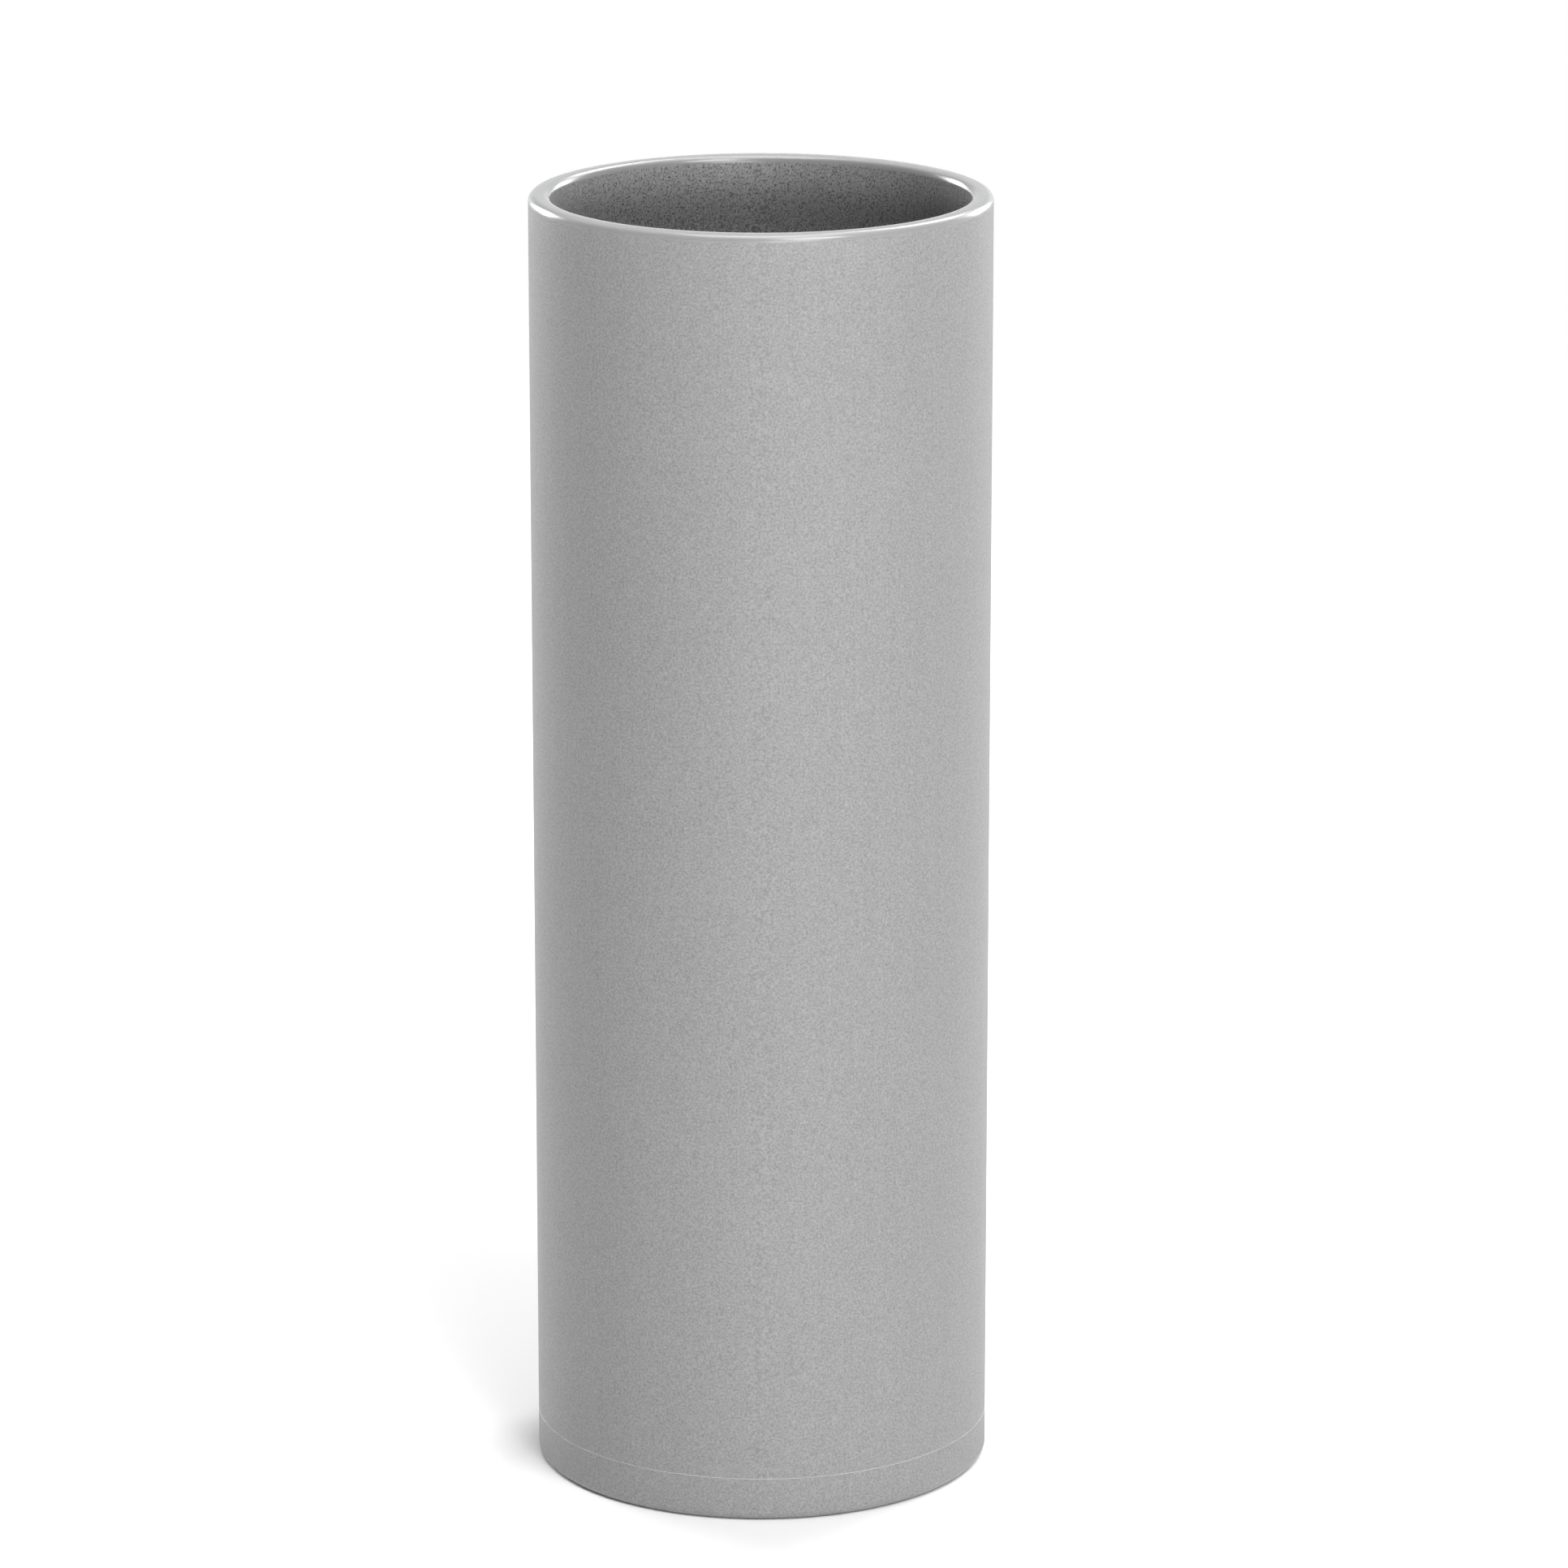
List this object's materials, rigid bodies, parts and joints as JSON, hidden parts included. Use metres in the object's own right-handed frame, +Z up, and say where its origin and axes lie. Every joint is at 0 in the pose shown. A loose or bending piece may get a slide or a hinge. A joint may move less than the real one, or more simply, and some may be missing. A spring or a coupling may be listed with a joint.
{
  "type": "glass cylinder vase",
  "caption": "Tall straight-sided cylindrical glass vase with an open round mouth, thick wall, polished rim and flat base, for holding cut flowers in water.",
  "frame": {"origin": "centre of the foot's plane, on the vase's axis", "axes": "+Z up along the vase's axis, out of the mouth; +X and +Y across, any turn about Z is the same"},
  "size_m": [0.105, 0.105, 0.2985],
  "materials": {
    "satin_glass": "smoke-grey glass, satin-etched wall and brighter polished rim",
    "base_glass": "smoke-grey glass, satin-etched edge and ground underside",
    "clear_adhesive": "cured clear adhesive"
  },
  "bodies": {
    "root": {"glass_tube": "satin_glass", "base_disc": "base_glass", "adhesive_seal": "clear_adhesive"}
  },
  "joints": []
}
